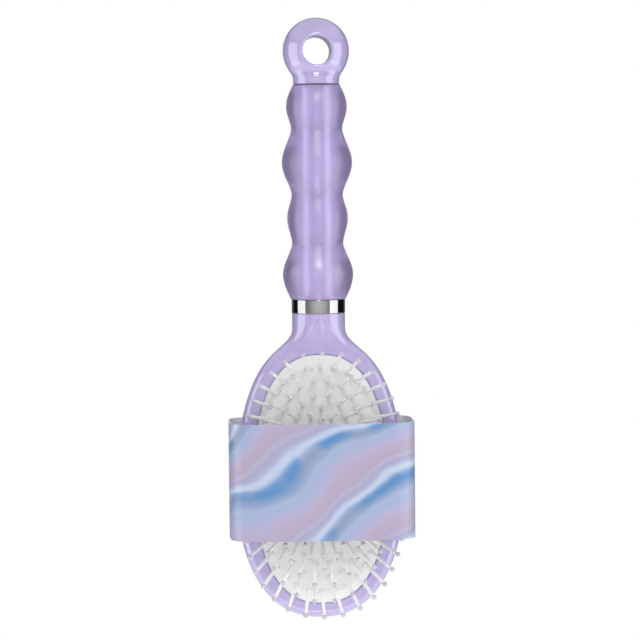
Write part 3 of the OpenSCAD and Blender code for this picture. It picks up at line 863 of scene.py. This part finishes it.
class BuildPaddle(bpy.types.Operator):
    """Build the paddle and cut the stepped seat for the cushion into its face"""

    bl_idname = "brush.build_paddle"
    bl_label = "Paddle"

    def execute(self, context):
        scene = context.scene
        head, pad, s = scene.brush_head, scene.brush_pad, stations(scene)
        finishes = [plastic_finish(scene.brush_finishes)]
        piece = lay("dressed_paddle", paddle_points(head, s), finishes)
        proud, floor, fewest_faces = 0.002, 0.0015, 1000
        rim, face, lip = head.bezel_width + head.lip_edge, -head.face_depth, head.lip_edge
        profile = [(rim, face - proud), *arc((rim, face + lip), lip, 270, 180, 6).tolist(),
                   (head.bezel_width, s.seat), (FIT, s.seat), (FIT, floor)]
        cutter = lay("seat_cutter", plug(pad, s, profile), finishes)
        cut = piece.modifiers.new("Seat", "BOOLEAN")
        cut.object, cut.operation, cut.solver = cutter, "DIFFERENCE", "EXACT"
        context.view_layer.update()
        cut_piece = piece.evaluated_get(context.evaluated_depsgraph_get())
        shaped = bpy.data.meshes.new_from_object(cut_piece)
        piece.modifiers.clear()
        piece.data = shaped
        bpy.data.objects.remove(cutter)
        if len(shaped.polygons) < fewest_faces:
            raise RuntimeError("the cushion's seat could not be cut into the paddle")
        smooth(shaped)
        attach(piece, "brush")
        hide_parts("paddle")
        return {"FINISHED"}


class BuildPad(bpy.types.Operator):
    """Build the crowned rubber cushion"""

    bl_idname = "brush.build_pad"
    bl_label = "Cushion"

    def execute(self, context):
        scene = context.scene
        s = stations(scene)
        points, near = pad_points(scene.brush_pad, s)
        piece = lay("dressed_cushion", points, [rubber_finish(scene.brush_finishes)], crease=60,
                    tags={"near_pin": near})
        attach(piece, "brush")
        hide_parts("cushion")
        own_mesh(piece)
        return {"FINISHED"}


class BuildPins(bpy.types.Operator):
    """Build the pins and their ball tips, ring by ring"""

    bl_idname = "brush.build_pins"
    bl_label = "Pins and tips"

    def execute(self, context):
        scene = context.scene
        p, s = scene.brush_pad, stations(scene)
        nylon, bead = nylon_finish(scene.brush_finishes), bead_finish(scene.brush_finishes)
        top = -(p.rubber + p.head_gap)
        low, end = top - p.head_height, p.pin_length - 2 * p.ball_radius
        inside = end + 1.2 * p.ball_radius
        shaft = [(low, 0), (low, p.head_radius), (top, p.head_radius), (top, p.pin_radius),
                 (0, p.pin_radius), (end, p.pin_end), (inside, p.pin_end), (inside, 0)]
        ball = arc((p.pin_length - p.ball_radius, 0), p.ball_radius, 180, 0, 8)
        columns = 10
        names = ("outer", "second", "third", "fourth", "middle")
        bodies = ("outer_ring", "second_ring", "third_ring", "fourth_ring", "middle_row")
        for name, body, places in zip(names, bodies, pin_rings(p)):
            for kind, profile, finish, slot in (
                    ("pins", shaft, nylon, "white_nylon"), ("tips", ball, bead, "lavender_beads")):
                points = pin_points(s, places, profile, columns)
                faces = repeated(quads(len(profile), columns), len(places), len(profile) * columns)
                piece = lay(f"dressed_{name}_{kind}", points, [finish], faces, crease=50)
                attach(piece, body)
                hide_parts(f"{name}_{kind}")
        return {"FINISHED"}


class BuildSleeve(bpy.types.Operator):
    """Build the card sleeve with its glued flap, printed outside and white inside"""

    bl_idname = "brush.build_sleeve"
    bl_label = "Card sleeve"

    def execute(self, context):
        scene = context.scene
        k, head, pad, s = scene.brush_sleeve, scene.brush_head, scene.brush_pad, stations(scene)
        outline = lambda grow, turn: sleeve_outline(k, s, head, pad, grow, turn)
        columns, bands, steps = 360, 8, 40
        high = s.neck - k.drop
        low = high - k.height
        turn = turns(columns) + math.pi / 2
        skins = outline(0, turn), outline(-k.card, turn)
        rows = [(0, z) for z in np.linspace(low, high, bands + 1)] + [(1, high), (1, low)]
        points = np.stack([join(*skins[i].T, z) for i, z in rows])
        faces = quads(*points.shape[:2], close_rows=True)
        length = lengths(np.concatenate([skins[0], skins[0][:1]]))
        column = np.tile(np.arange(columns), len(rows))
        row = np.repeat(np.arange(len(rows)), columns)
        level, below = np.array([z for _, z in rows]) - low, (row + 1) % len(rows)
        corner_uv = join(length[join(column, column + 1, column + 1, column)],
                         level[join(row, row, below, below)])
        lap = math.acos((k.flap / 2 / outline(0, np.array([0.0]))[0, 0]) ** (CARD_POWER / 2))
        across = np.linspace(lap, math.pi - lap, steps)
        loop = np.concatenate([outline(k.card, across), outline(-k.card / 2, across)[::-1]])
        flap = np.stack([join(*loop.T, z) for z in (low, low, high, high)])
        flap[[0, 3]] = flap[[0, 3]].mean(axis=1, keepdims=True)
        flap_faces = quads(*flap.shape[:2]) + points.shape[0] * points.shape[1]
        column = np.tile(np.arange(len(loop)), 3)
        flap_uv = join(np.where(column < steps, column * k.flap / steps, 0)[:, None],
                       [0, 0, k.height, k.height])
        outside = (np.repeat(np.arange(3), len(loop)) == 1) & (column < steps - 1)
        points = np.concatenate([points.reshape(-1, 3), flap.reshape(-1, 3)])
        finishes = [print_finish(scene.brush_finishes), card_finish(scene.brush_finishes)]
        piece = lay("dressed_sleeve", points, finishes, np.concatenate([faces, flap_faces]),
                    corner_uv=np.concatenate([corner_uv, flap_uv]),
                    face_finish=np.concatenate([row >= bands, ~outside]).astype(np.int32))
        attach(piece, "sleeve")
        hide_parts("card_sleeve")
        return {"FINISHED"}


def facing(middle, azimuth, elevation, distance, roll=0.0):
    """Place at a distance from the middle, turned to face it, by its azimuth from the front and its
    elevation, and rolled."""
    return (Matrix.Translation(middle) @ Matrix.Rotation(azimuth, 4, "Z")
            @ Matrix.Rotation(math.pi / 2 - elevation, 4, "X") @ Matrix.Rotation(-roll, 4, "Z")
            @ Matrix.Translation((0, 0, distance)))


class BuildStudio(bpy.types.Operator):
    """Set up the camera, the pale floor and the soft studio lights"""

    bl_idname = "brush.build_studio"
    bl_label = "Camera, floor and lights"

    def execute(self, context):
        scene = context.scene
        self.place_camera(scene)
        self.lay_floor(scene)
        self.fill_world(scene)
        c = scene.brush_studio
        for name, azimuth, elevation, distance, wide, high, lift, radiance in (
                ("right_softbox", 68, 0, 1.0, 0.75, 1.10, -0.05, c.box_light),
                ("left_softbox", -82, 0, 1.0, 0.75, 1.10, -0.05, c.box_light),
                ("front_top_light", 0, 38, 1.3, 0.38, 0.46, 0.0, c.top_light),
                ("front_low_light", 0, -55, 0.6, 0.50, 0.07, 0.0, c.low_light)):
            data = bpy.data.lights.new(name, "AREA")
            data.shape, data.size, data.size_y = "RECTANGLE", wide, high
            data.energy = radiance * math.pi * wide * high
            lamp = bpy.data.objects.new(name, data)
            lamp.matrix_world = facing(
                (0, 0, c.aim_z + lift), math.radians(azimuth), math.radians(elevation), distance)
            lamp.visible_camera = False
            scene.collection.objects.link(lamp)
        return {"FINISHED"}

    def place_camera(self, scene):
        """Camera at the photograph's angle, aimed a little right of the brush's middle."""
        c = scene.brush_studio
        data = bpy.data.cameras.new("camera")
        data.lens, data.sensor_width, data.clip_start, data.clip_end = c.lens, 36, 0.01, 20
        camera = bpy.data.objects.new("camera", data)
        camera.matrix_world = facing((c.aim_x, 0, c.aim_z), -c.yaw, c.pitch, c.distance, c.roll)
        scene.collection.objects.link(camera)
        scene.camera = camera

    def lay_floor(self, scene):
        """Flat pale disc with a rounded rim, below the brush."""
        c = scene.brush_studio
        profile = np.array([
            [0, -0.02], [1.6, -0.02], [1.61, -0.015], [1.61, -0.005], [1.6, 0], [0, 0]])
        floor = lay("floor", revolve(profile + [0, c.floor_z]), [floor_finish(c.floor_glow)])

    def fill_world(self, scene):
        """White where the camera sees it. The light and the mirror images come from a soft studio:
        bright in front, black at the sides, dim behind, darker above and below, pale overhead."""
        f = Finish(bpy.data.worlds.new("studio"))
        f.tree.nodes.clear()
        scene.world = f.owner
        scene.view_settings.view_transform = "Standard"
        towards = f.node("ShaderNodeTexCoord", output="Generated")
        front, overhead = (
            f.node("ShaderNodeVectorMath", {"operation": "DOT_PRODUCT"}, [towards, way], "Value")
            for way in ((0, -1, 0), (0, 0, 1)))
        grey = lambda level: (level, level, level, 1)
        stops = [(at, grey(level)) for at, level in (
            (0.0, 0.30), (0.05, 0.20), (0.16, 0.01), (0.42, 0.01), (0.62, 0.10), (0.88, 0.46),
            (0.985, 0.88), (1.0, 0.95))]
        tone = f.node("ShaderNodeValToRGB", {"stops": stops}, {"Fac": front * 0.5 + 0.5}, "Color")
        tone = f.blend(abs(overhead).step(0.15, 0.40) * 0.85, tone, grey(0.0))
        tone = f.blend(overhead.step(0.30, 0.70), tone, grey(0.7))
        studio = f.node("ShaderNodeBackground", None, {"Color": tone})
        white = f.node("ShaderNodeBackground", None, {"Color": (1, 1, 1, 1)})
        seen = f.node("ShaderNodeLightPath", output="Is Camera Ray")
        both = f.node("ShaderNodeMixShader", None, {0: seen, 1: studio, 2: white})
        out = f.tree.nodes.new("ShaderNodeOutputWorld")
        f.feed(out.inputs["Surface"], both)


class BrushPanel(bpy.types.Panel):
    """Sizes, colours and build steps of the brush"""

    bl_idname = "VIEW3D_PT_hair_brush"
    bl_label = "Hair brush"
    bl_space_type = "VIEW_3D"
    bl_region_type = "UI"
    bl_category = "Hair brush"

    def draw(self, context):
        for operator in OPERATORS:
            self.layout.operator(operator.bl_idname)
        for name, group in GROUPS.items():
            box = self.layout.box()
            box.label(text=group.__doc__)
            for key in group.__annotations__:
                box.prop(getattr(context.scene, name), key)


OPERATORS = (BuildLoop, BuildGrip, BuildCollar, BuildPaddle, BuildPad, BuildPins, BuildSleeve,
             BuildStudio)
GROUPS = {"brush_handle": HandleSizes, "brush_head": HeadSizes, "brush_pad": PadSizes,
          "brush_sleeve": SleeveSizes, "brush_finishes": Finishes, "brush_studio": StudioSettings}


def register():
    for cls in (*GROUPS.values(), *OPERATORS, BrushPanel):
        bpy.utils.register_class(cls)
    for name, group in GROUPS.items():
        setattr(bpy.types.Scene, name, bpy.props.PointerProperty(type=group))


def unregister():
    for name in GROUPS:
        delattr(bpy.types.Scene, name)
    for cls in (BrushPanel, *OPERATORS, *GROUPS.values()):
        bpy.utils.unregister_class(cls)


def main():
    """Builds every piece in order."""
    register()
    for operator in OPERATORS:
        group, name = operator.bl_idname.split(".")
        getattr(getattr(bpy.ops, group), name)()


if __name__ == "__main__":
    main()
